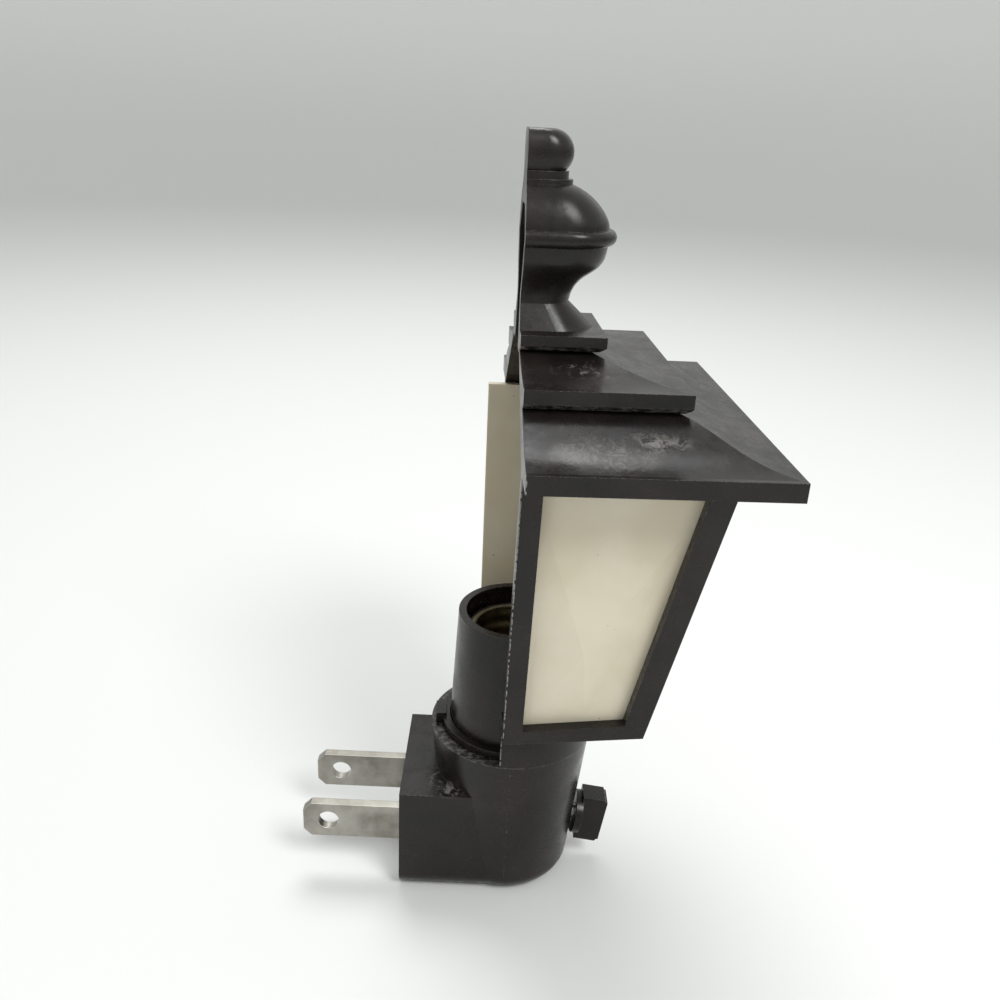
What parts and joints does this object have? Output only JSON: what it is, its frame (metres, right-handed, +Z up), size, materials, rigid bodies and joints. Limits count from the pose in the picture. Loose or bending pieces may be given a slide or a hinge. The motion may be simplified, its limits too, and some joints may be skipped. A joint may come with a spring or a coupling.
{
  "type": "plug in night light",
  "caption": "Plug in night light: a mains plug housing with an empty screw lamp socket and a turn switch, under a half lantern shade with tiered roof, finial and ivory panes.",
  "frame": {"origin": "on the face that meets the wall, midway between the two blades", "axes": "+Y out of the wall face along the blades, +Z up, X across the blades"},
  "size_m": [0.0593, 0.0655, 0.1173],
  "materials": {
    "dark_plastic": "dark bronze moulded plastic, semi gloss, scuffed",
    "ivory_plastic": "translucent ivory plastic, satin",
    "nickel_plate": "tarnished nickel plated brass",
    "brass_shell": "dull brass",
    "brass_strap": "stamped brass",
    "spring_steel": "bright steel",
    "insulator": "brown moulded insulator"
  },
  "bodies": {
    "plug": {"rear_housing": "dark_plastic", "front_housing": "dark_plastic", "socket_sleeve": "dark_plastic", "screw_shell": "brass_shell", "base_insulator": "insulator", "centre_contact": "brass_shell", "left_blade": "nickel_plate", "right_blade": "nickel_plate", "live_strap": "brass_strap", "neutral_strap": "brass_strap", "lamp_strap": "brass_strap"},
    "switch": {"switch_knob": "dark_plastic", "switch_shaft": "spring_steel", "switch_rotor": "insulator", "contact_bridge": "brass_strap", "shaft_clip": "spring_steel", "spring_washer": "spring_steel"},
    "ring": {"turn_ring": "dark_plastic"},
    "shade": {"lantern_shell": "dark_plastic", "near_pane": "ivory_plastic", "far_pane": "ivory_plastic", "front_pane": "ivory_plastic"}
  },
  "joints": [
    {"name": "switch_turn", "type": "hinge", "parent": "plug", "child": "switch", "pos_m": [0, -0.02832, -0.0016], "axis": [0, -0.9903, -0.1392], "continuous": true},
    {"name": "shade_turn", "type": "hinge", "parent": "plug", "child": "ring", "pos_m": [0, -0.0171, 0.0165], "axis": [0, 0, 1], "range_deg": [-28, 22]},
    {"name": "shade_lift", "type": "slide", "parent": "ring", "child": "shade", "axis": [0, 0, 1], "range_m": [0, 0.022]}
  ]
}
